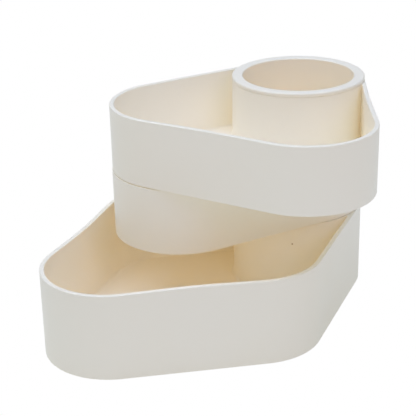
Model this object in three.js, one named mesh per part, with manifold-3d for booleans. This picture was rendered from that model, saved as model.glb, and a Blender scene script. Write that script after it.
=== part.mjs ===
// A three-tier swivel caddy for small tools: a rhombic base tray and two triangular trays that turn
// on the tube of a deep pen cup. The cup drops through all three trays from above and is screwed to
// the base tray from below. Millimetres, +Z up. The origin is on the swivel axis at desk level, and
// +X runs along the long diagonal of the base tray.
import * as THREE from "three";
import { mergeVertices } from "three/addons/utils/BufferGeometryUtils.js";
import Module from "manifold-3d";

// ---------- driving dimensions ----------
const CORNER_RADIUS = 39.8; // outside radius of every tray corner, and of the hub in the pivot corner
const CORNER_PITCH = 82.45; // swivel axis to the centre of a neighbouring corner
const HALF_ANGLE = 29.5; // degrees, half the angle between the two walls that leave the hub
const WALL = 2.7; // walls, floors and hub sleeves
const BASE_HEIGHT = 51.2;
const TRAY_HEIGHT = 39.2;
const TIER_GAP = 0.5; // running gap between one tray and the next
const RIM_ROUND = 0.8; // rounding of the rim, the outer bottom edge and the bore mouths
const WEDGE_FILLET = 1.2; // where the pocket narrows between hub and wall

const TUBE_RADIUS = 36.6; // outside of the pen cup's tube
const TUBE_INNER_RADIUS = 33.4;
const BORE_RADIUS = CORNER_RADIUS - WALL; // the sleeves turn on the tube with 0.5 to spare
const FLANGE_RADIUS = 39.9;
const FLANGE_THICKNESS = 1.95;
const FLANGE_GAP = 0.4;
const FLANGE_ROUND = 0.8;
const HUB_FLOOR = 5.0; // thick floor of the base tray inside its hub
const CUP_FLOOR_HEIGHT = 13.2; // underside of the cup's floor above the underside of the base tray
const CUP_FLOOR_FILLET = 3.0;
const BOSS_RADIUS = 4.2;

const SCREW_COUNT = 3;
const SCREW_CIRCLE = 22; // radius of the circle that the clamp screws lie on
const SCREW_HEAD_RADIUS = 2.9;
const SCREW_HEAD_HEIGHT = 1.9;
const SCREW_SHANK_RADIUS = 1.35;
const SCREW_LENGTH = 10.2; // under the head
const PILOT_RADIUS = 1.45;
const CLEARANCE_HOLE_RADIUS = 1.7;
const COUNTERBORE_RADIUS = 3.4;
const COUNTERBORE_DEPTH = 2.2;
const CROSS_SLOT = { length: 3.2, width: 0.7, depth: 1.1 };

const FOOT_RADIUS = 6;
const PIVOT_FOOT_RADIUS = 9;
const FOOT_THICKNESS = 1.75;
const FOOT_STAND = 0.8; // how far the feet stand out below the base tray
const FOOT_RECESS = 1.0;
const FOOT_INSET = 25; // corner centre to foot centre
const FOOT_ROUND = 0.4;

const WASHER_INNER = 37.4;
const WASHER_OUTER = 39.0;
const FACE_GAP = 0.05; // between faces that bear on each other
const FLOOR_EDGE = 1.35; // a floor's edge lies this far inside the walls' outer faces
const FLOOR_HOLE_EDGE = 1.05; // and this far outside the bore

const MIDDLE_TURN = -38.97; // degrees from the base tray's diagonal
const UPPER_TURN = 20.2;

const CHORD_ERROR = 0.08; // the most that a chord cuts inside its arc
const TUBE_SEGMENTS = 48;
const SMALL_SEGMENTS = 20;

// ---------- heights that follow ----------
const baseBottom = FOOT_STAND;
const middleBottom = baseBottom + BASE_HEIGHT + TIER_GAP;
const upperBottom = middleBottom + TRAY_HEIGHT + TIER_GAP;
const upperRim = upperBottom + TRAY_HEIGHT;
const flangeBottom = upperRim + FLANGE_GAP;
const flangeTop = flangeBottom + FLANGE_THICKNESS;
const hubFloorTop = baseBottom + HUB_FLOOR;
const cupFloorBottom = baseBottom + CUP_FLOOR_HEIGHT;

// ---------- materials ----------
const ivoryPlastic = () =>
  new THREE.MeshStandardMaterial({ color: 0xe9e4d8, roughness: 0.38, metalness: 0 });
const whiteAcetal = () =>
  new THREE.MeshStandardMaterial({ color: 0xf1f0ea, roughness: 0.5, metalness: 0 });
const zincSteel = () =>
  new THREE.MeshStandardMaterial({ color: 0xb9bcc0, roughness: 0.35, metalness: 1 });
const greyRubber = () =>
  new THREE.MeshStandardMaterial({ color: 0xa9a69e, roughness: 0.85, metalness: 0 });

// ---------- joining and cutting ----------
const wasm = await Module();
wasm.setup();

function solid(geometry) {
  const bare = geometry.clone();
  bare.deleteAttribute("normal");
  bare.deleteAttribute("uv");
  const merged = mergeVertices(bare, 1e-4);
  return new wasm.Manifold(
    new wasm.Mesh({
      numProp: 3,
      vertProperties: new Float32Array(merged.attributes.position.array),
      triVerts: new Uint32Array(merged.index.array),
    }),
  );
}

function geometryOf(manifold) {
  const mesh = manifold.getMesh();
  const geometry = new THREE.BufferGeometry();
  geometry.setAttribute("position", new THREE.BufferAttribute(mesh.vertProperties, 3));
  geometry.setIndex(new THREE.BufferAttribute(mesh.triVerts, 1));
  geometry.computeVertexNormals();
  return geometry;
}

const joined = (first, ...rest) => rest.reduce((whole, piece) => whole.add(piece), first);
const cut = (first, ...rest) => rest.reduce((whole, piece) => whole.subtract(piece), first);

// ---------- outlines ----------
const radians = THREE.MathUtils.degToRad;

// Points of an arc from one angle to another, in degrees, either way round.
function arc(centre, radius, from, to) {
  const step = 2 * THREE.MathUtils.radToDeg(Math.acos(1 - CHORD_ERROR / radius));
  const steps = Math.max(2, Math.ceil(Math.abs(to - from) / step));
  return Array.from({ length: steps + 1 }, (_, i) => {
    const angle = radians(from + ((to - from) * i) / steps);
    return new THREE.Vector2(
      centre.x + radius * Math.cos(angle),
      centre.y + radius * Math.sin(angle),
    );
  });
}

const circle = (centre, radius) => arc(centre, radius, 0, 360).slice(0, -1);
const polar = (radius, degrees) =>
  new THREE.Vector2(radius * Math.cos(radians(degrees)), radius * Math.sin(radians(degrees)));
const PIVOT = new THREE.Vector2(0, 0);

// Corner centres counterclockwise, the pivot corner first, each with the direction of the outward
// normal of the wall before it and of the wall after it.
function cornersOf(centres) {
  const normals = centres.map((centre, i) => {
    const next = centres[(i + 1) % centres.length];
    return THREE.MathUtils.radToDeg(Math.atan2(next.y - centre.y, next.x - centre.x)) - 90;
  });
  return centres.map((centre, i) => {
    const before = normals[(i + centres.length - 1) % centres.length];
    const turn = (((normals[i] - before) % 360) + 360) % 360;
    return { centre, before, after: before + turn };
  });
}

// The rounded outline of a tray, drawn in or out by the choice of radius.
const outline = (corners, radius) =>
  corners.flatMap(({ centre, before, after }) => arc(centre, radius, before, after));

// The pocket of a tray: its inner walls, with the pivot corner taken up by the hub.
function pocket(corners) {
  const inner = CORNER_RADIUS - WALL;
  const along = Math.sqrt((CORNER_RADIUS + WEDGE_FILLET) ** 2 - (inner - WEDGE_FILLET) ** 2);
  const wedgeAngle = HALF_ANGLE + THREE.MathUtils.radToDeg(Math.atan2(inner - WEDGE_FILLET, along));
  const wedge = (side) => polar(CORNER_RADIUS + WEDGE_FILLET, side * wedgeAngle);
  const wallNormal = HALF_ANGLE + 90;
  const walls = corners
    .slice(1)
    .flatMap(({ centre, before, after }) => arc(centre, inner, before, after));
  return [
    ...arc(wedge(-1), WEDGE_FILLET, 180 - wedgeAngle, 360 - wallNormal),
    ...walls,
    ...arc(wedge(1), WEDGE_FILLET, wallNormal, 180 + wedgeAngle),
    ...arc(PIVOT, CORNER_RADIUS, wedgeAngle, -wedgeAngle).slice(1, -1),
  ];
}

// ---------- solids of extrusion and revolution ----------
function plate(points, holes, bottom, top, round = 0) {
  const shape = new THREE.Shape(points);
  shape.holes = holes.map((hole) => new THREE.Path(hole));
  const geometry = new THREE.ExtrudeGeometry(shape, {
    depth: top - bottom - 2 * round,
    bevelEnabled: round > 0,
    bevelThickness: round,
    bevelSize: round,
    bevelOffset: -round,
    bevelSegments: 2,
  });
  return solid(geometry.translate(0, 0, bottom + round));
}

// Turns a profile of [radius, height] pairs about the Z axis.
function turned(profile, segments) {
  const points = profile.map(([radius, height]) => new THREE.Vector2(radius, height));
  return solid(new THREE.LatheGeometry(points, segments).rotateX(Math.PI / 2));
}

const disc = (centre, radius, bottom, top) => plate(circle(centre, radius), [], bottom, top);

// A quarter round of a profile, between two directions in degrees.
const quarter = (radius, height, round, from, to) =>
  arc(new THREE.Vector2(radius, height), round, from, to).map((point) => [point.x, point.y]);

// ---------- trays ----------
const nearCorner = (side) => polar(CORNER_PITCH, side * HALF_ANGLE);
const farCorner = new THREE.Vector2(2 * CORNER_PITCH * Math.cos(radians(HALF_ANGLE)), 0);
const baseCorners = cornersOf([PIVOT, nearCorner(-1), farCorner, nearCorner(1)]);
const trayCorners = cornersOf([PIVOT, nearCorner(-1), nearCorner(1)]);

const screwPlaces = Array.from({ length: SCREW_COUNT }, (_, i) =>
  polar(SCREW_CIRCLE, (360 * i) / SCREW_COUNT),
);
const footPlaces = [
  { name: "pivot_foot", radius: PIVOT_FOOT_RADIUS, place: PIVOT },
  { name: "hub_edge_foot", radius: FOOT_RADIUS, place: polar(FOOT_INSET, 180) },
  {
    name: "right_foot",
    radius: FOOT_RADIUS,
    place: nearCorner(-1).add(polar(FOOT_INSET, -90)),
  },
  { name: "far_foot", radius: FOOT_RADIUS, place: farCorner.clone().add(polar(FOOT_INSET, 0)) },
  {
    name: "left_foot",
    radius: FOOT_RADIUS,
    place: nearCorner(1).add(polar(FOOT_INSET, 90)),
  },
];

// Walls and hub sleeve, with the bore through the sleeve.
const walls = (corners, height) =>
  plate(
    outline(corners, CORNER_RADIUS),
    [pocket(corners), circle(PIVOT, BORE_RADIUS)],
    0,
    height,
    RIM_ROUND,
  );

function swivelTray() {
  const floor = plate(
    outline(trayCorners, CORNER_RADIUS - FLOOR_EDGE),
    [circle(PIVOT, BORE_RADIUS + FLOOR_HOLE_EDGE)],
    0,
    WALL,
  );
  return geometryOf(joined(walls(trayCorners, TRAY_HEIGHT), floor));
}

function baseTray() {
  const floor = plate(outline(baseCorners, CORNER_RADIUS - FLOOR_EDGE), [], 0, WALL);
  const hubFloor = disc(PIVOT, BORE_RADIUS + FLOOR_HOLE_EDGE, 0, HUB_FLOOR);
  const screwHoles = screwPlaces.flatMap((place) => [
    disc(place, COUNTERBORE_RADIUS, -1, COUNTERBORE_DEPTH),
    disc(place, CLEARANCE_HOLE_RADIUS, -1, HUB_FLOOR + 1),
  ]);
  const footRecesses = footPlaces.map(({ place, radius }) =>
    disc(place, radius + 0.2, -1, FOOT_RECESS),
  );
  return geometryOf(
    cut(joined(walls(baseCorners, BASE_HEIGHT), floor, hubFloor), ...screwHoles, ...footRecesses),
  );
}

// ---------- pen cup ----------
function penCup() {
  const wall = TUBE_RADIUS - TUBE_INNER_RADIUS;
  const floorTop = cupFloorBottom + wall;
  const bottom = hubFloorTop + FACE_GAP;
  const edge = FLANGE_RADIUS - FLANGE_ROUND;
  const lip = TUBE_INNER_RADIUS + FLANGE_ROUND;
  const cup = turned(
    [
      [0, cupFloorBottom],
      [TUBE_INNER_RADIUS, cupFloorBottom],
      [TUBE_INNER_RADIUS, bottom],
      [TUBE_RADIUS - RIM_ROUND, bottom],
      [TUBE_RADIUS, bottom + RIM_ROUND],
      [TUBE_RADIUS, flangeBottom],
      [FLANGE_RADIUS - 0.3, flangeBottom],
      [FLANGE_RADIUS, flangeBottom + 0.3],
      ...quarter(edge, flangeTop - FLANGE_ROUND, FLANGE_ROUND, 0, 90),
      ...quarter(lip, flangeTop - FLANGE_ROUND, FLANGE_ROUND, 90, 180),
      ...quarter(
        TUBE_INNER_RADIUS - CUP_FLOOR_FILLET,
        floorTop + CUP_FLOOR_FILLET,
        CUP_FLOOR_FILLET,
        0,
        -90,
      ),
      [0, floorTop],
    ],
    TUBE_SEGMENTS,
  );
  const bosses = screwPlaces.map((place) =>
    disc(place, BOSS_RADIUS, bottom, cupFloorBottom + wall / 2),
  );
  const pilots = screwPlaces.map((place) =>
    disc(place, PILOT_RADIUS, bottom - 1, cupFloorBottom + wall / 4),
  );
  return geometryOf(cut(joined(cup, ...bosses), ...pilots));
}

// ---------- small pieces ----------
// A pan-head screw with a cross recess, head down, its shank along +Z from the origin.
function clampScrew() {
  const round = SCREW_HEAD_HEIGHT / 2;
  const body = turned(
    [
      [0, -SCREW_HEAD_HEIGHT],
      ...quarter(SCREW_HEAD_RADIUS - round, -SCREW_HEAD_HEIGHT + round, round, -90, 0),
      [SCREW_HEAD_RADIUS, 0],
      [SCREW_SHANK_RADIUS, 0],
      [SCREW_SHANK_RADIUS, SCREW_LENGTH - 1],
      [SCREW_SHANK_RADIUS / 3, SCREW_LENGTH],
      [0, SCREW_LENGTH],
    ],
    SMALL_SEGMENTS,
  );
  const { length, width, depth } = CROSS_SLOT;
  const slot = (x, y) =>
    solid(
      new THREE.BoxGeometry(x, y, 2 * depth).translate(0, 0, -SCREW_HEAD_HEIGHT),
    );
  return geometryOf(cut(body, slot(length, width), slot(width, length)));
}

function foot(radius) {
  return geometryOf(
    turned(
      [
        [0, 0],
        ...quarter(radius - FOOT_ROUND, FOOT_ROUND, FOOT_ROUND, -90, 0),
        [radius, FOOT_THICKNESS],
        [0, FOOT_THICKNESS],
      ],
      SMALL_SEGMENTS,
    ),
  );
}

function washer(thickness) {
  return geometryOf(
    plate(circle(PIVOT, WASHER_OUTER), [circle(PIVOT, WASHER_INNER)], 0, thickness),
  );
}

// ---------- assembly ----------
function piece(name, geometry, material, x = 0, y = 0, z = 0) {
  const mesh = new THREE.Mesh(geometry, material);
  mesh.name = name;
  mesh.position.set(x, y, z);
  return mesh;
}

const group = new THREE.Group();

group.add(piece("base_tray", baseTray(), ivoryPlastic(), 0, 0, baseBottom));
group.add(piece("pen_cup", penCup(), ivoryPlastic()));

for (const { name, radius, place } of footPlaces)
  group.add(piece(name, foot(radius), greyRubber(), place.x, place.y, 0));

screwPlaces.forEach((place, i) => {
  const headSeat = baseBottom + COUNTERBORE_DEPTH - FACE_GAP;
  group.add(
    piece(`clamp_screw_${i + 1}`, clampScrew(), zincSteel(), place.x, place.y, headSeat),
  );
});

const middleTier = new THREE.Group();
middleTier.rotation.z = radians(MIDDLE_TURN);
middleTier.add(piece("middle_tray", swivelTray(), ivoryPlastic(), 0, 0, middleBottom));
group.add(middleTier);

const upperTier = new THREE.Group();
upperTier.rotation.z = radians(UPPER_TURN);
upperTier.add(piece("upper_tray", swivelTray(), ivoryPlastic(), 0, 0, upperBottom));
group.add(upperTier);

const washers = [
  { name: "lower_washer", gap: TIER_GAP, on: middleBottom - TIER_GAP },
  { name: "middle_washer", gap: TIER_GAP, on: upperBottom - TIER_GAP },
  { name: "upper_washer", gap: FLANGE_GAP, on: upperRim },
];
for (const { name, gap, on } of washers)
  group.add(piece(name, washer(gap - 2 * FACE_GAP), whiteAcetal(), 0, 0, on + FACE_GAP));

export default group;
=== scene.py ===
"""The looks of the swivel caddy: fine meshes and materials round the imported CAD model. Metres."""

import math

import bpy
from mathutils import Matrix, Vector
from mathutils.geometry import tessellate_polygon


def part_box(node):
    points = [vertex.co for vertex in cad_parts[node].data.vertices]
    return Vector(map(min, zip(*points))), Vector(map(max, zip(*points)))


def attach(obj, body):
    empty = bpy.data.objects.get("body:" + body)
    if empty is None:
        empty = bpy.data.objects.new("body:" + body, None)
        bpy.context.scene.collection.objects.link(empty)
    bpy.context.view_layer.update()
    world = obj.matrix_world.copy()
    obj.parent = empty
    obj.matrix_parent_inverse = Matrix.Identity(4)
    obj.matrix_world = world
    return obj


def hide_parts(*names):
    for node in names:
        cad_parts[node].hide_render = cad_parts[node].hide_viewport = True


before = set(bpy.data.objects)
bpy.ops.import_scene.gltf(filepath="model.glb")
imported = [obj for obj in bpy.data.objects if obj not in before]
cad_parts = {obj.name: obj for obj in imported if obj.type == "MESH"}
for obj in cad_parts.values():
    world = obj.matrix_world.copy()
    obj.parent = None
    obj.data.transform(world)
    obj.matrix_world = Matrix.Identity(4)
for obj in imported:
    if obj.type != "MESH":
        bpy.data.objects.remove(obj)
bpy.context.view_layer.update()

MM = 0.001

# ---------------------------------------------------------------------------------------------
# Dimensions of the CAD model, from its boxes where they give them
# ---------------------------------------------------------------------------------------------
base_low, base_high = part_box("base_tray")
upper_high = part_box("upper_tray")[1]
cup_low, cup_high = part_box("pen_cup")
washer_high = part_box("upper_washer")[1]

CORNER_RADIUS = -base_low.x
PITCH_ALONG = (base_high.x - CORNER_RADIUS) / 2
PITCH_ACROSS = base_high.y - CORNER_RADIUS
HALF_ANGLE = math.atan2(PITCH_ACROSS, PITCH_ALONG)
CORNER_PITCH = math.hypot(PITCH_ALONG, PITCH_ACROSS)
MIDDLE_TURN = math.radians(-38.97)
UPPER_TURN = math.radians(20.2)

WALL = 2.7 * MM
BORE_RADIUS = CORNER_RADIUS - WALL
HUB_FLOOR = 5.0 * MM
AXIS = Vector((0, 0))
SCREWS = ["clamp_screw_1", "clamp_screw_2", "clamp_screw_3"]
FEET = ["pivot_foot", "hub_edge_foot", "right_foot", "far_foot", "left_foot"]
FLANGE_RADIUS = cup_high.x
TUBE_RADIUS = 36.6 * MM
TUBE_INNER_RADIUS = 33.4 * MM
CUP_FLOOR = 14.0 * MM
BOSS_RADIUS = 4.2 * MM
PILOT_RADIUS = 1.45 * MM

COUNTERBORE = (3.4 * MM, 2.2 * MM)
CLEARANCE_HOLE = 1.7 * MM
SCREW_HEAD_HEIGHT = 1.9 * MM
FOOT_RECESS = 1.0 * MM
FOOT_PLAY = 0.2 * MM
WASHER_INNER = 37.4 * MM
FACE_GAP = 0.05 * MM

# ---------------------------------------------------------------------------------------------
# Small shapes that only this model has
# ---------------------------------------------------------------------------------------------
RIM_ROUND = 0.55 * MM
BOTTOM_ROUND = 0.3 * MM
HUB_EDGE_ROUND = 0.2 * MM
HUB_FADE = 6 * MM
WEDGE_FILLET = 0.35 * MM
WEDGE_LEAST = 0.06 * MM
FLOOR_FILLET = 1.7 * MM
DRAFT = 0.2 * MM
POCKET_DRAFT = 0.35 * MM
BASE_BOW = 1.6 * MM
TRAY_BOW = 1.1 * MM
# Powers that shape a bow: up the wall, and along it
BOW_RISE = 1.3
BOW_SPREAD = 1.5
BASE_HUB_BOWS = (0.2 * MM, 0.2 * MM)
TRAY_HUB_BOWS = (-0.35 * MM, 0.6 * MM)
FLANGE_LIP = (39.25 * MM, 0.17 * MM)
EJECTOR_MARK = (3.0 * MM, 0.12 * MM)
GATE_DIMPLE = (2.4 * MM, 0.5 * MM)
GATE_NUB = (0.7 * MM, 0.3 * MM)
GATE_NUB_TIP = 0.7
# Places of ejector marks and gates, as shares of the pitches, the half angle and the radius
TRAY_EJECTOR_REACH = 0.98
TRAY_EJECTOR_SPREAD = 1.3
HUB_EJECTOR_REACH = 1.3
TRAY_GATE = 0.75
BASE_GATE = 1.2
BASE_EJECTORS = ((0.85, 0), (0.95, 0.55), (0.95, -0.55), (1.45, 0.4), (1.45, -0.4), (1.9, 0))
HOLE_BEVEL = 0.25 * MM
CUP_DRAFT = 0.3 * MM
CUP_END_ROUNDS = (0.3 * MM, 0.8 * MM)
FLANGE_UNDER_ROUND = 0.2 * MM
FLANGE_ROUND = 0.85 * MM
CUP_FLOOR_FILLET = 3.0 * MM
CUP_FLOOR_DISC = TUBE_INNER_RADIUS / 4
BOSS_DRAFT = 0.25 * MM
PILOT_INTO_FLOOR = 0.8 * MM
HEAD_FACE = 0.62
HEAD_CROWN = (0.15 * MM, 0.9 * MM)
HEAD_EDGE_ROUND = 0.12 * MM
THREAD_CORE = 1.0 * MM
THREAD_CREST = 1.35 * MM
THREAD_PITCH = 1.1 * MM
THREAD_STEPS = 8
THREAD_FLANK = 0.4
THREAD_TIP = 1.3 * MM
THREAD_POINT = 0.12
SLOT_REACH = 1.6 * MM
SLOT_HALF = 0.35 * MM
SLOT_DEPTH = 1.1 * MM
SLOT_NARROWING = (0.62, 0.8)
SLOT_CORNER = 1.25
FOOT_DISH = 0.3 * MM
# Shares of a foot's radius: the dish's floor, its edge, and the flat top
FOOT_SHARES = (0.55, 0.68, 0.9)
FOOT_ROUNDS = (0.3 * MM, 0.45 * MM, 0.15 * MM)
WASHER_EDGE = 0.08 * MM
WASHER_GROOVE = (0.25 * MM, 0.06 * MM)

ARC_STEP = math.radians(3)
RUN_POINTS = 22
ROUND_STEPS = 5
WALL_STEPS = 8
WEDGE_STEPS = 12
HUB_STEPS = 90
TURN_STEPS = 144
SMALL_STEPS = 40
SHARP_ANGLE = 38
SCREW_SHARP_ANGLE = 50


# ---------------------------------------------------------------------------------------------
# Outlines
# ---------------------------------------------------------------------------------------------
def polar(radius, angle):
    return Vector((radius * math.cos(angle), radius * math.sin(angle)))


def arc(centre, radius, start, end, steps=None):
    """Points of an arc. Unless it is given, their number depends on the angles only."""
    steps = steps or max(4, math.ceil(abs(end - start) / ARC_STEP))
    return [centre + polar(radius, start + (end - start) * i / steps) for i in range(steps + 1)]


def ring(centre, radius, steps=TURN_STEPS):
    return [centre + polar(radius, 2 * math.pi * i / steps) for i in range(steps)]


def filleted(corners):
    """A profile of (radius, height, fillet) corners, with an arc in place of each that has one."""
    profile = []
    for i, (radius, height, fillet) in enumerate(corners):
        here = Vector((radius, height))
        if not fillet:
            profile.append(here)
            continue
        back = (Vector(corners[i - 1][:2]) - here).normalized()
        ahead = (Vector(corners[(i + 1) % len(corners)][:2]) - here).normalized()
        half = back.angle(ahead) / 2
        reach = fillet / math.tan(half)
        centre = here + (back + ahead).normalized() * (fillet / math.sin(half))
        first, last = here + back * reach - centre, here + ahead * reach - centre
        sweep = first.angle_signed(last)
        for j in range(ROUND_STEPS + 1):
            turn = -sweep * j / ROUND_STEPS
            c, s = math.cos(turn), math.sin(turn)
            profile.append(centre + Vector((c * first.x - s * first.y, s * first.x + c * first.y)))
    return profile


class Plan:
    """The plan of a tray: rounded corners, counterclockwise, with the hub in the first. The walls
    bow inwards at the rim, and the two that leave the hub have bows of their own."""

    def __init__(self, centres, turn, bow, hub_bows):
        self.turn = turn
        self.bows = [hub_bows[0]] + [bow] * (len(centres) - 2) + [hub_bows[1], 0]
        self.corners = []
        for i, centre in enumerate(centres):
            back = centre - centres[i - 1]
            ahead = centres[(i + 1) % len(centres)] - centre
            before = math.atan2(back.y, back.x) - math.pi / 2
            after = math.atan2(ahead.y, ahead.x) - math.pi / 2
            self.corners.append((centre, before, before + (after - before) % (2 * math.pi)))

    def joined(self, arcs, share_of_bow):
        """One loop through arcs and the bowed runs between them."""
        loop = []
        for i, points in enumerate(arcs):
            start, end = points[-1], arcs[(i + 1) % len(arcs)][0]
            way = end - start
            inward = Vector((-way.y, way.x)).normalized()
            depth = self.bows[i] * share_of_bow
            loop += points
            for j in range(1, RUN_POINTS):
                share = j / RUN_POINTS
                bulge = inward * depth * math.sin(math.pi * share) ** BOW_SPREAD
                loop.append(start + way * share + bulge)
        return loop

    def outside(self, inset, bowed):
        radius = CORNER_RADIUS - inset
        arcs = [arc(centre, radius, before, after) for centre, before, after in self.corners]
        return self.placed(self.joined(arcs, bowed))

    def pocket(self, inset, bowed):
        """The pocket's outline, made smaller by inset: walls, wedge fillets and the hub's arc."""
        inner = CORNER_RADIUS - WALL
        fillet = max(WEDGE_FILLET - inset, WEDGE_LEAST)
        reach = inset + fillet
        along = math.sqrt((CORNER_RADIUS + reach) ** 2 - (inner - reach) ** 2)
        wedge = HALF_ANGLE + math.atan2(inner - reach, along)
        normal = HALF_ANGLE + math.pi / 2
        right = arc(polar(CORNER_RADIUS + reach, -wedge), fillet,
                    math.pi - wedge, 2 * math.pi - normal, WEDGE_STEPS)
        left = arc(polar(CORNER_RADIUS + reach, wedge), fillet,
                   normal, math.pi + wedge, WEDGE_STEPS)
        corners = [arc(centre, inner - inset, before, after)
                   for centre, before, after in self.corners[1:]]
        walls = self.joined([right] + corners + [left], bowed)[:1 - RUN_POINTS]
        hub = arc(AXIS, CORNER_RADIUS + inset, wedge, -wedge, HUB_STEPS)
        return self.placed(walls + hub[1:-1])

    def placed(self, loop):
        return [turned_by(point, self.turn) for point in loop]

    def spots(self, places):
        """Places on the underside, given along the tray's own axes."""
        return [turned_by(Vector(place), self.turn) for place in places]


def turned_by(point, angle):
    c, s = math.cos(angle), math.sin(angle)
    return Vector((c * point.x - s * point.y, s * point.x + c * point.y))


def near_hub(point):
    """1 on the hub, falling to 0 a short way out along the walls."""
    share = min(1, max(0, (CORNER_RADIUS + HUB_FADE - point.length) / HUB_FADE))
    return share * share * (3 - 2 * share)


# ---------------------------------------------------------------------------------------------
# Skins: closed meshes from level loops
# ---------------------------------------------------------------------------------------------
def added(name, data):
    """A new object in the scene that shows a mesh, a lamp or a camera."""
    made = bpy.data.objects.new(name, data)
    bpy.context.scene.collection.objects.link(made)
    return made


class Skin:
    def __init__(self):
        self.points = []
        self.faces = []

    def loop(self, outline, height):
        heights = height if isinstance(height, list) else [height] * len(outline)
        first = len(self.points)
        self.points += [(p.x, p.y, z) for p, z in zip(outline, heights)]
        return list(range(first, len(self.points)))

    def bridge(self, low, high):
        """Side faces between two loops; they face away from the loops' centre if high is above."""
        for i in range(len(low)):
            j = (i + 1) % len(low)
            self.faces.append((low[i], low[j], high[j], high[i]))

    def tube(self, loops):
        for low, high in zip(loops, loops[1:]):
            self.bridge(low, high)

    def cap(self, outer, holes=(), up=True):
        """A level face bounded by a loop, with holes."""
        rings = [outer] + list(holes)
        flat = [index for one in rings for index in one]
        polygons = [[Vector(self.points[index]) for index in one] for one in rings]
        for a, b, c in tessellate_polygon(polygons):
            face = (flat[a], flat[b], flat[c])
            p, q, r = (Vector(self.points[index]) for index in face)
            rises = (q - p).cross(r - p).z > 0
            self.faces.append(face if rises == up else face[::-1])

    def turned(self, profile, centre=AXIS, steps=TURN_STEPS):
        """Turns a profile of (radius, height) points about a vertical axis. Returns its loops."""
        loops = [self.loop(ring(centre, radius, steps), height) for radius, height in profile]
        self.tube(loops)
        return loops

    def hole(self, centre, radius, mouth, end, edge=0.0):
        """A round hole upwards from a mouth, with a bevelled edge. Returns its first and last
        loops, whose faces the caller makes."""
        profile = [(radius, end), (radius, mouth + edge)]
        if edge:
            profile.append((radius + edge, mouth))
        loops = self.turned(profile, centre, SMALL_STEPS)
        return loops[-1], loops[0]

    def blind_hole(self, centre, radius, mouth, depth, edge=0.0):
        opening, end = self.hole(centre, radius, mouth, mouth + depth, edge)
        self.cap(end, up=False)
        return opening

    def piece(self, name, body, nodes, material, sharp=SHARP_ANGLE):
        mesh = bpy.data.meshes.new(name)
        mesh.from_pydata(self.points, [], self.faces)
        mesh.update()
        mesh.shade_smooth()
        mesh.set_sharp_from_angle(angle=math.radians(sharp))
        made = added(name, mesh)
        weighted = made.modifiers.new("weighted", "WEIGHTED_NORMAL")
        weighted.keep_sharp = True
        weighted.weight = 100
        made.data.materials.append(material)
        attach(made, body)
        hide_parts(*nodes)


# ---------------------------------------------------------------------------------------------
# Trays
# ---------------------------------------------------------------------------------------------
def tray_walls(skin, plan, low, high):
    """Outer wall, rim and pocket of a tray. Returns the loops that the caller closes."""
    height = high - low
    floor = low + WALL

    def bowed(z):
        return max(0.0, (z - floor) / (high - floor)) ** BOW_RISE

    def taper(z, amount):
        return amount * (high - z) / height

    def edge_loop(outline, draft, turn, way, face, wall_round, side=1):
        """One loop of a rounded edge, with a smaller round by the hub. The turn goes from the
        level face, 0, to the wall, a quarter. way is -1 below a face and 1 above it, and side is
        -1 where the edge faces into the pocket."""
        options = []
        for radius in (wall_round, HUB_EDGE_ROUND):
            z = face + way * radius * (1 - math.cos(turn))
            inset = taper(z, draft) + side * radius * (1 - math.sin(turn))
            options.append((outline(inset, bowed(z)), z))
        (wall, wall_z), (hub, hub_z) = options
        shares = [near_hub(point) for point in wall]
        points = [a.lerp(b, share) for a, b, share in zip(wall, hub, shares)]
        return skin.loop(points, [wall_z + (hub_z - wall_z) * share for share in shares])

    def wall_loops(outline, draft, start, end):
        heights = [start + (end - start) * i / WALL_STEPS for i in range(1, WALL_STEPS)]
        return [skin.loop(outline(taper(z, draft), bowed(z)), z) for z in heights]

    quarter = [math.pi / 2 * i / ROUND_STEPS for i in range(ROUND_STEPS + 1)]
    outer = [edge_loop(plan.outside, DRAFT, turn, 1, low, BOTTOM_ROUND) for turn in quarter]
    outer += wall_loops(plan.outside, DRAFT, low + BOTTOM_ROUND, high - RIM_ROUND)
    outer += [edge_loop(plan.outside, DRAFT, turn, -1, high, RIM_ROUND) for turn in quarter[::-1]]
    skin.tube(outer)

    inner = [edge_loop(plan.pocket, POCKET_DRAFT, turn, -1, high, RIM_ROUND, -1)
             for turn in quarter]
    inner += wall_loops(plan.pocket, POCKET_DRAFT, high - RIM_ROUND, floor + FLOOR_FILLET)
    for turn in quarter:
        z = floor + FLOOR_FILLET * (1 - math.sin(turn))
        inset = taper(z, POCKET_DRAFT) + FLOOR_FILLET * (1 - math.cos(turn))
        inner.append(skin.loop(plan.pocket(inset, bowed(z)), z))
    skin.tube(inner)
    skin.cap(inner[-1], up=True)
    return outer[0], outer[-1], inner[0]


def bore_mouth(skin, z, way):
    """Loops of the bore's rounded edge, from the level face inwards; way is 1 at the bottom."""
    loops = []
    for i in range(ROUND_STEPS + 1):
        turn = math.pi / 2 * i / ROUND_STEPS
        outline = ring(AXIS, BORE_RADIUS + HUB_EDGE_ROUND * (1 - math.sin(turn)))
        loops.append(skin.loop(outline, z + way * HUB_EDGE_ROUND * (1 - math.cos(turn))))
    return loops


def moulding_marks(skin, plan, low, ejectors, gate):
    """Shallow ejector marks and a gate vestige on an underside. Returns their mouths."""
    radius, depth = EJECTOR_MARK
    mouths = [skin.blind_hole(spot, radius, low, depth) for spot in plan.spots(ejectors)]
    spot = plan.spots([gate])[0]
    radius, depth = GATE_DIMPLE
    opening, end = skin.hole(spot, radius, low, low + depth, depth / 2)
    nub_radius, nub_height = GATE_NUB
    tip, root = [skin.loop(ring(spot, size, SMALL_STEPS), low + depth - height)
                 for size, height in ((nub_radius * GATE_NUB_TIP, nub_height), (nub_radius, 0))]
    skin.cap(end, [root], up=False)
    skin.bridge(tip, root)
    skin.cap(tip, up=False)
    return mouths + [opening]


near_corners = [polar(CORNER_PITCH, side * HALF_ANGLE) for side in (-1, 1)]
far_corner = Vector((2 * PITCH_ALONG, 0))


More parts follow.
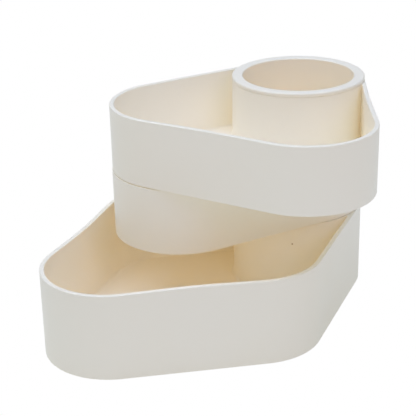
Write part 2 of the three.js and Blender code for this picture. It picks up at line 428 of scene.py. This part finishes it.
def swivel_tray(node, body, turn, material):
    low, high = (corner.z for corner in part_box(node))
    plan = Plan([AXIS] + near_corners, turn, TRAY_BOW, TRAY_HUB_BOWS)
    skin = Skin()
    foot, rim, mouth = tray_walls(skin, plan, low, high)
    top = bore_mouth(skin, high, -1)
    bottom = bore_mouth(skin, low, 1)
    skin.tube(top + bottom[::-1])
    reach = CORNER_PITCH * TRAY_EJECTOR_REACH
    ejectors = [polar(reach, side * HALF_ANGLE * TRAY_EJECTOR_SPREAD) for side in (-1, 0, 1)]
    ejectors += [polar(CORNER_RADIUS * HUB_EJECTOR_REACH, side * HALF_ANGLE)
                 for side in (-1, 1)]
    marks = moulding_marks(skin, plan, low, ejectors, (reach * TRAY_GATE, 0))
    skin.cap(rim, [mouth, top[0]], up=True)
    skin.cap(foot, [bottom[0]] + marks, up=False)
    skin.piece(node + "_shell", body, [node], material)


def middle_of(node):
    low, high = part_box(node)
    return Vector(((low.x + high.x) / 2, (low.y + high.y) / 2))


def base_tray(material):
    low, high = base_low.z, base_high.z
    centres = [AXIS, near_corners[0], far_corner, near_corners[1]]
    plan = Plan(centres, 0, BASE_BOW, BASE_HUB_BOWS)
    skin = Skin()
    foot, rim, mouth = tray_walls(skin, plan, low, high)
    openings = []
    for name in FEET:
        radius = (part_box(name)[1].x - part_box(name)[0].x) / 2 + FOOT_PLAY
        openings.append(skin.blind_hole(middle_of(name), radius, low, FOOT_RECESS, HOLE_BEVEL))
    hub_holes = []
    for name in SCREWS:
        radius, depth = COUNTERBORE
        place = middle_of(name)
        opening, seat = skin.hole(place, radius, low, low + depth, HOLE_BEVEL)
        start, end = skin.hole(place, CLEARANCE_HOLE, low + depth, low + HUB_FLOOR)
        skin.cap(seat, [start], up=False)
        openings.append(opening)
        hub_holes.append(end)
    ejectors = [(PITCH_ALONG * along, PITCH_ACROSS * across)
                for along, across in BASE_EJECTORS]
    openings += moulding_marks(skin, plan, low, ejectors, (PITCH_ALONG * BASE_GATE, 0))
    top = bore_mouth(skin, high, -1)
    hub_floor = skin.loop(ring(AXIS, BORE_RADIUS), low + HUB_FLOOR)
    skin.tube(top + [hub_floor])
    skin.cap(hub_floor, hub_holes, up=True)
    skin.cap(rim, [mouth, top[0]], up=True)
    skin.cap(foot, openings, up=False)
    skin.piece("base_tray_shell", "base", ["base_tray"], material)


# ---------------------------------------------------------------------------------------------
# Pen cup
# ---------------------------------------------------------------------------------------------
def pen_cup(material):
    skin = Skin()
    bottom, top = cup_low.z, cup_high.z
    lip_radius, lip_gap = FLANGE_LIP
    lip = upper_high.z + lip_gap
    shoulder = washer_high.z + FACE_GAP
    floor = CUP_FLOOR + TUBE_RADIUS - TUBE_INNER_RADIUS
    inner_end, outer_end = CUP_END_ROUNDS
    profile = filleted([
        (TUBE_INNER_RADIUS, CUP_FLOOR, 0),
        (TUBE_INNER_RADIUS, bottom, inner_end),
        (TUBE_RADIUS, bottom, outer_end),
        (TUBE_RADIUS, shoulder, FLANGE_UNDER_ROUND),
        (lip_radius, shoulder, 0),
        (lip_radius, lip, 0),
        (FLANGE_RADIUS, lip, FLANGE_UNDER_ROUND),
        (FLANGE_RADIUS, top, FLANGE_ROUND),
        (TUBE_INNER_RADIUS, top, FLANGE_ROUND),
        (TUBE_INNER_RADIUS - CUP_DRAFT, floor, CUP_FLOOR_FILLET),
        (CUP_FLOOR_DISC, floor, 0),
    ])
    loops = skin.turned(profile)
    bosses = []
    for name in SCREWS:
        place = middle_of(name)
        pilot, pilot_end = skin.hole(place, PILOT_RADIUS, bottom, CUP_FLOOR + PILOT_INTO_FLOOR)
        skin.cap(pilot_end, up=False)
        boss = skin.turned([(BOSS_RADIUS, bottom), (BOSS_RADIUS + BOSS_DRAFT, CUP_FLOOR)],
                           place, SMALL_STEPS)
        skin.cap(boss[0], [pilot], up=False)
        bosses.append(boss[1])
    skin.cap(loops[0], bosses, up=False)
    skin.cap(loops[-1], up=True)
    skin.piece("pen_cup_shell", "base", ["pen_cup"], material)


# ---------------------------------------------------------------------------------------------
# Screws, feet and washers
# ---------------------------------------------------------------------------------------------
def cross(centre, reach, half):
    """The outline of a cross recess, counterclockwise."""
    corner = [(reach, -half), (reach, half), (half * SLOT_CORNER, half * SLOT_CORNER)]
    points = []
    for quarter_turn in range(4):
        points += [centre + turned_by(Vector(p), quarter_turn * math.pi / 2) for p in corner]
    return points


def clamp_screw(node, material):
    low, high = (corner.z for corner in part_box(node))
    place = middle_of(node)
    radius = (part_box(node)[1].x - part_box(node)[0].x) / 2
    seat = low + SCREW_HEAD_HEIGHT
    skin = Skin()
    crown, crown_round = HEAD_CROWN
    head = filleted([(radius * HEAD_FACE, low, 0), (radius, low + crown, crown_round),
                     (radius, seat, HEAD_EDGE_ROUND), (THREAD_CREST, seat, 0)])
    loops = [skin.loop(ring(place, r, SMALL_STEPS), z) for r, z in head]
    length = high - seat
    turns = math.ceil(length / THREAD_PITCH * THREAD_STEPS)
    for i in range(1, turns + 1):
        along = length * i / turns
        fade = min(1, along / THREAD_PITCH)
        tip = min(1, (length - along) / THREAD_TIP)
        outline = []
        for j in range(SMALL_STEPS):
            angle = 2 * math.pi * j / SMALL_STEPS
            phase = (along / THREAD_PITCH - j / SMALL_STEPS) % 1
            ridge = max(0, 1 - abs(phase - 0.5) / THREAD_FLANK)
            depth = THREAD_CORE + (THREAD_CREST - THREAD_CORE) * ridge * fade
            taper = THREAD_POINT + (1 - THREAD_POINT) * tip
            outline.append(place + polar(depth * taper, angle))
        loops.append(skin.loop(outline, seat + along))
    skin.tube(loops)
    skin.cap(loops[-1], up=True)
    mouth = skin.loop(cross(place, SLOT_REACH, SLOT_HALF), low)
    shorter, thinner = SLOT_NARROWING
    end = skin.loop(cross(place, SLOT_REACH * shorter, SLOT_HALF * thinner),
                    low + SLOT_DEPTH)
    skin.bridge(end, mouth)
    skin.cap(end, up=False)
    skin.cap(loops[0], [mouth], up=False)
    skin.piece(node + "_fine", "base", [node], material, SCREW_SHARP_ANGLE)


def foot(node, material):
    low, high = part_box(node)
    radius = (high.x - low.x) / 2
    skin = Skin()
    dish, brim, flat = FOOT_SHARES
    brim_round, tread_round, top_round = FOOT_ROUNDS
    profile = filleted([(radius * dish, low.z + FOOT_DISH, 0),
                        (radius * brim, low.z, brim_round), (radius, low.z, tread_round),
                        (radius, high.z, top_round), (radius * flat, high.z, 0)])
    loops = skin.turned(profile, middle_of(node), SMALL_STEPS * 2)
    skin.cap(loops[0], up=False)
    skin.cap(loops[-1], up=True)
    skin.piece(node + "_pad", "base", [node], material)


def washer(node, body, material):
    low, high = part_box(node)
    skin = Skin()
    inner, outer, edge = WASHER_INNER, high.x, WASHER_EDGE
    groove = (inner + outer) / 2
    half, depth = WASHER_GROOVE
    profile = filleted([
        (groove - half, high.z, 0), (inner, high.z, edge), (inner, low.z, edge),
        (groove - half, low.z, 0), (groove, low.z + depth, 0), (groove + half, low.z, 0),
        (outer, low.z, edge), (outer, high.z, edge),
        (groove + half, high.z, 0), (groove, high.z - depth, 0),
    ])
    loops = skin.turned(profile)
    skin.bridge(loops[-1], loops[0])
    skin.piece(node + "_ring", body, [node], material)


# ---------------------------------------------------------------------------------------------
# Materials
# ---------------------------------------------------------------------------------------------
# The Mix node's colour sockets, which have the same names as its others
MIX_A, MIX_B, MIX_RESULT = 6, 7, 2


class Recipe:
    """A material's node tree, with short calls for the nodes that it is made of."""

    def __init__(self, name):
        self.material = bpy.data.materials.new(name)
        self.material.use_nodes = True
        self.tree = self.material.node_tree
        self.shader = self.tree.nodes["Principled BSDF"]
        self.place = self.node("TexCoord").outputs["Object"]

    def node(self, kind, inputs=(), **settings):
        made = self.tree.nodes.new("ShaderNode" + kind)
        for key, value in settings.items():
            setattr(made, key, value)
        self.feed(made, inputs)
        return made

    def feed(self, node, inputs):
        for key, value in dict(inputs).items():
            if isinstance(value, bpy.types.NodeSocket):
                self.tree.links.new(value, node.inputs[key])
            else:
                node.inputs[key].default_value = value

    def noise(self, scale, detail=3.0, stretch=(1, 1, 1), turn=(0, 0, 0)):
        """Noise with values round a half; scale is in features per metre."""
        spread = self.node("Mapping", {"Vector": self.place, "Scale": stretch, "Rotation": turn})
        return self.node("TexNoise", {"Vector": spread.outputs[0], "Scale": scale,
                                      "Detail": detail}).outputs["Fac"]

    def ramp(self, value, start, end, low=0.0, high=1.0):
        """A smooth step of a value, from low at start to high at end."""
        return self.node("MapRange", {"Value": value, "From Min": start, "From Max": end,
                                      "To Min": low, "To Max": high},
                         interpolation_type="SMOOTHSTEP").outputs[0]

    def maths(self, operation, a, b):
        return self.node("Math", {0: a, 1: b}, operation=operation).outputs[0]

    def blend(self, share, a, b):
        """A colour, or a socket, between two."""
        inputs = {"Factor": share, MIX_A: a, MIX_B: b}
        return self.node("Mix", inputs, data_type="RGBA").outputs[MIX_RESULT]

    def bump(self, height, depth, under=None):
        inputs = {"Height": height, "Distance": depth, "Strength": 1.0}
        if under is not None:
            inputs["Normal"] = under
        return self.node("Bump", inputs).outputs[0]

    def finish(self, **inputs):
        self.feed(self.shader, {key.replace("_", " "): value for key, value in inputs.items()})
        return self.material


def colour(red, green, blue):
    return (red, green, blue, 1)


def ivory_plastic():
    """Satin moulded plastic: fine moulded grain, slow waviness, a painted highlight on the upward
    faces of the rims, a few specks, hairlines and smudges from use."""
    paint = Recipe("ivory_plastic")
    tone = paint.ramp(paint.noise(22), start=0.35, end=0.65)
    plastic = paint.blend(tone, colour(*IVORY), colour(*IVORY_WARM))

    cells = paint.node("TexVoronoi", {"Vector": paint.place, "Scale": 62.0})
    chosen = paint.node("SeparateColor", {"Color": cells.outputs["Color"]}).outputs[0]
    size = paint.ramp(chosen, start=0.3, end=1.0, high=0.04)
    inside = paint.maths("LESS_THAN", cells.outputs["Distance"], size)
    specks = paint.maths("MULTIPLY", inside, 0.75)
    plastic = paint.blend(specks, plastic, colour(*SPECK))

    normal = paint.node("NewGeometry").outputs["Normal"]
    facing = paint.node("SeparateXYZ", {0: normal}).outputs["Z"]
    generated = paint.node("TexCoord").outputs["Generated"]
    height = paint.node("SeparateXYZ", {0: generated}).outputs["Z"]
    # Painted highlight: faces that look up near the top of each part get a paler, cooler colour,
    # unevenly strong
    rim = paint.maths("MULTIPLY", paint.ramp(facing, start=0.05, end=0.55),
                      paint.ramp(height, start=0.96, end=0.985))
    highlight_unevenness = paint.ramp(paint.noise(90), start=0.3, end=0.6, low=0.55, high=0.85)
    rim_highlight = paint.maths("MULTIPLY", rim, highlight_unevenness)
    plastic = paint.blend(rim_highlight, plastic, colour(*IVORY_RIM_HIGHLIGHT))

    streaks = paint.noise(9, detail=2.0, stretch=(1, 1, 30), turn=(0.35, 0.2, 0))
    hairline = paint.ramp(streaks, start=0.665, end=0.67)
    patch = paint.ramp(paint.noise(14, detail=1.0), start=0.52, end=0.6)
    scratches = paint.maths("MULTIPLY", hairline, patch)
    smudges = paint.ramp(paint.noise(45, detail=4.0), start=0.45, end=0.7, high=0.05)
    grain = paint.noise(2600, detail=2.0)
    rough = paint.ramp(grain, start=0.3, end=0.7, low=ROUGHNESS - 0.02, high=ROUGHNESS + 0.03)
    rough = paint.maths("ADD", rough, smudges)
    rough = paint.maths("ADD", rough, paint.maths("MULTIPLY", scratches, 0.015))

    waviness = paint.bump(paint.noise(24, detail=1.0), 0.1 * MM)
    moulded = paint.bump(grain, 0.0035 * MM, waviness)
    scratched = paint.bump(scratches, -0.0004 * MM, moulded)
    return paint.finish(Base_Color=plastic, Roughness=rough, Normal=scratched, IOR=1.5)


def white_acetal():
    """Turned acetal with fine concentric tool marks."""
    paint = Recipe("white_acetal")
    tone = paint.ramp(paint.noise(300), start=0.3, end=0.7)
    rings = paint.node("TexWave", {"Vector": paint.place, "Scale": 1500.0, "Distortion": 0.6},
                       wave_type="RINGS", rings_direction="Z").outputs["Fac"]
    return paint.finish(
        Base_Color=paint.blend(tone, colour(*ACETAL), colour(*ACETAL_DULL)),
        Roughness=paint.ramp(rings, start=0, end=1, low=0.32, high=0.42),
        Normal=paint.bump(rings, 0.004 * MM))


def zinc_steel():
    """Zinc plate over steel: pale with a faint yellow tint in places, dulled in spots."""
    paint = Recipe("zinc_steel")
    tint = paint.ramp(paint.noise(420), start=0.35, end=0.7)
    dull = paint.ramp(paint.noise(1500, detail=4.0), start=0.45, end=0.75)
    metal = paint.blend(tint, colour(*ZINC), colour(*ZINC_YELLOW))
    metal = paint.blend(paint.maths("MULTIPLY", dull, 0.5), metal, colour(*ZINC_DULL))
    lines = paint.noise(900, stretch=(1, 1, 14))
    return paint.finish(Base_Color=metal, Metallic=1.0,
                        Roughness=paint.ramp(dull, start=0, end=1, low=0.26, high=0.5),
                        Normal=paint.bump(lines, 0.004 * MM))


def grey_rubber():
    """Matt rubber with a fine pebbled face and a little dust."""
    paint = Recipe("grey_rubber")
    cells = paint.node("TexVoronoi", {"Vector": paint.place, "Scale": 2200.0})
    dust = paint.ramp(paint.noise(260, detail=5.0), start=0.5, end=0.75)
    tone = paint.ramp(paint.noise(120), start=0.35, end=0.65)
    rubber = paint.blend(tone, colour(*RUBBER), colour(*RUBBER_PALE))
    rubber = paint.blend(paint.maths("MULTIPLY", dust, 0.4), rubber, colour(*DUST))
    return paint.finish(Base_Color=rubber,
                        Roughness=paint.ramp(dust, start=0, end=1, low=0.7, high=0.92),
                        Normal=paint.bump(cells.outputs["Distance"], 0.03 * MM))


# ---------------------------------------------------------------------------------------------
# Floor, light and camera
# ---------------------------------------------------------------------------------------------
def to_camera(nodes, links, lit, plain, output):
    """What the camera sees straight on is plain, and all other light comes from lit."""
    seen = nodes.new("ShaderNodeLightPath")
    mix = nodes.new("ShaderNodeMixShader")
    links.new(seen.outputs["Is Camera Ray"], mix.inputs[0])
    links.new(lit.outputs[0], mix.inputs[1])
    links.new(plain.outputs[0], mix.inputs[2])
    links.new(mix.outputs[0], output.inputs["Surface"])


def floor():
    half = FLOOR_HALF
    mesh = bpy.data.meshes.new("floor")
    corners = [(-half, -half, 0), (half, -half, 0), (half, half, 0), (-half, half, 0)]
    mesh.from_pydata(corners, [], [(0, 1, 2, 3)])
    made = added("floor", mesh)
    material = bpy.data.materials.new("floor")
    material.use_nodes = True
    nodes, links = material.node_tree.nodes, material.node_tree.links
    shader = nodes["Principled BSDF"]
    shader.inputs["Base Color"].default_value = colour(FLOOR_GREY, FLOOR_GREY, FLOOR_GREY)
    shader.inputs["Roughness"].default_value = 1.0
    shader.inputs["Emission Color"].default_value = colour(*FLOOR_GLOW)
    shader.inputs["Emission Strength"].default_value = 1
    to_camera(nodes, links, shader, nodes.new("ShaderNodeEmission"), nodes["Material Output"])
    mesh.materials.append(material)


def surroundings():
    world = bpy.data.worlds.new("world")
    bpy.context.scene.world = world
    world.use_nodes = True
    nodes, links = world.node_tree.nodes, world.node_tree.links
    glow = nodes["Background"]
    glow.inputs["Color"].default_value = colour(*GLOW)
    backdrop = nodes.new("ShaderNodeBackground")
    backdrop.inputs["Color"].default_value = colour(1, 1, 1)
    to_camera(nodes, links, glow, backdrop, nodes["World Output"])


def towards(azimuth, elevation):
    """A direction, from angles in radians. Azimuth 0 is -y, and it grows towards +x."""
    level = Vector((math.sin(azimuth), -math.cos(azimuth), 0))
    return level * math.cos(elevation) + Vector((0, 0, math.sin(elevation)))


def softbox(name, turn, elevation, distance, size, power):
    """A square lamp aimed at the caddy, turned from the main view towards its right."""
    back = towards(math.radians(VIEW[0] + turn), math.radians(elevation))
    lamp = bpy.data.lights.new(name, "AREA")
    lamp.size = size
    lamp.energy = 1
    lamp.color = power
    light = added(name, lamp)
    light.location = Vector(CADDY_MIDDLE) + back * distance
    light.rotation_euler = back.to_track_quat("Z", "Y").to_euler()


def camera():
    azimuth, elevation, roll = (math.radians(angle) for angle in VIEW)
    back = towards(azimuth, elevation)
    side = Vector((math.cos(azimuth), math.sin(azimuth), 0))
    rise = back.cross(side)
    right = math.cos(roll) * side + math.sin(roll) * rise
    up = math.cos(roll) * rise - math.sin(roll) * side
    place = right * VIEW_RIGHT + up * VIEW_UP + back * VIEW_BACK + Vector((0, 0, base_low.z))
    data = bpy.data.cameras.new("camera")
    data.sensor_width = SENSOR
    data.lens = LENS
    data.clip_start, data.clip_end = CLIP
    made = added("camera", data)
    made.matrix_world = Matrix([(*row, at) for row, at in zip(zip(right, up, back), place)]
                               + [(0, 0, 0, 1)])
    bpy.context.scene.camera = made


# ---------------------------------------------------------------------------------------------
# The caddy and its studio
# ---------------------------------------------------------------------------------------------
IVORY = (0.9995, 0.957, 0.845)
IVORY_WARM = (0.999, 0.954, 0.839)
# Colour of the painted highlight on the upward faces of the rims
IVORY_RIM_HIGHLIGHT = (0.995, 0.968, 0.845)
SPECK = (0.42, 0.3, 0.16)
ROUGHNESS = 0.34

ACETAL, ACETAL_DULL = (0.88, 0.88, 0.85), (0.84, 0.83, 0.79)
ZINC, ZINC_YELLOW, ZINC_DULL = (0.66, 0.68, 0.7), (0.7, 0.67, 0.58), (0.42, 0.42, 0.41)
RUBBER, RUBBER_PALE, DUST = (0.38, 0.37, 0.34), (0.45, 0.44, 0.41), (0.62, 0.6, 0.56)

GLOW = (0.333, 0.313, 0.302)
FLOOR_HALF = 4.0
FLOOR_GREY = 0.5
FLOOR_GLOW = (0.367, 0.402, 0.386)
OVERHEAD_POWER = (1.9, 3.8, 6.4)
FRONT_POWER = (1.8, 1.48, 1.8)
LEFT_POWER = (7.45, 7.15, 7.65)
CADDY_MIDDLE = (0.06, 0, 0.07)

VIEW = (140.97, 22.83, -1.19)
VIEW_RIGHT, VIEW_UP, VIEW_BACK = -56.82 * MM, 41.6 * MM, 804.95 * MM
LENS = 108.16
SENSOR = 36
CLIP = (0.01, 50)
BOUNCES = 40

ivory, acetal, steel, rubber = ivory_plastic(), white_acetal(), zinc_steel(), grey_rubber()

base_tray(ivory)
swivel_tray("middle_tray", "middle", MIDDLE_TURN, ivory)
swivel_tray("upper_tray", "upper", UPPER_TURN, ivory)
pen_cup(ivory)
for screw in SCREWS:
    clamp_screw(screw, steel)
for pad in FEET:
    foot(pad, rubber)
for tier in ("lower", "middle", "upper"):
    washer(tier + "_washer", "base" if tier == "lower" else tier, acetal)

floor()
surroundings()
softbox("overhead", turn=0, elevation=90, distance=1.23, size=1.6, power=OVERHEAD_POWER)
softbox("front", turn=30, elevation=30, distance=1.4, size=0.6, power=FRONT_POWER)
softbox("left", turn=-90, elevation=75, distance=1.3, size=1.1, power=LEFT_POWER)
camera()
bpy.context.scene.view_settings.view_transform = "Standard"
bpy.context.scene.cycles.max_bounces = BOUNCES
bpy.context.scene.cycles.diffuse_bounces = BOUNCES
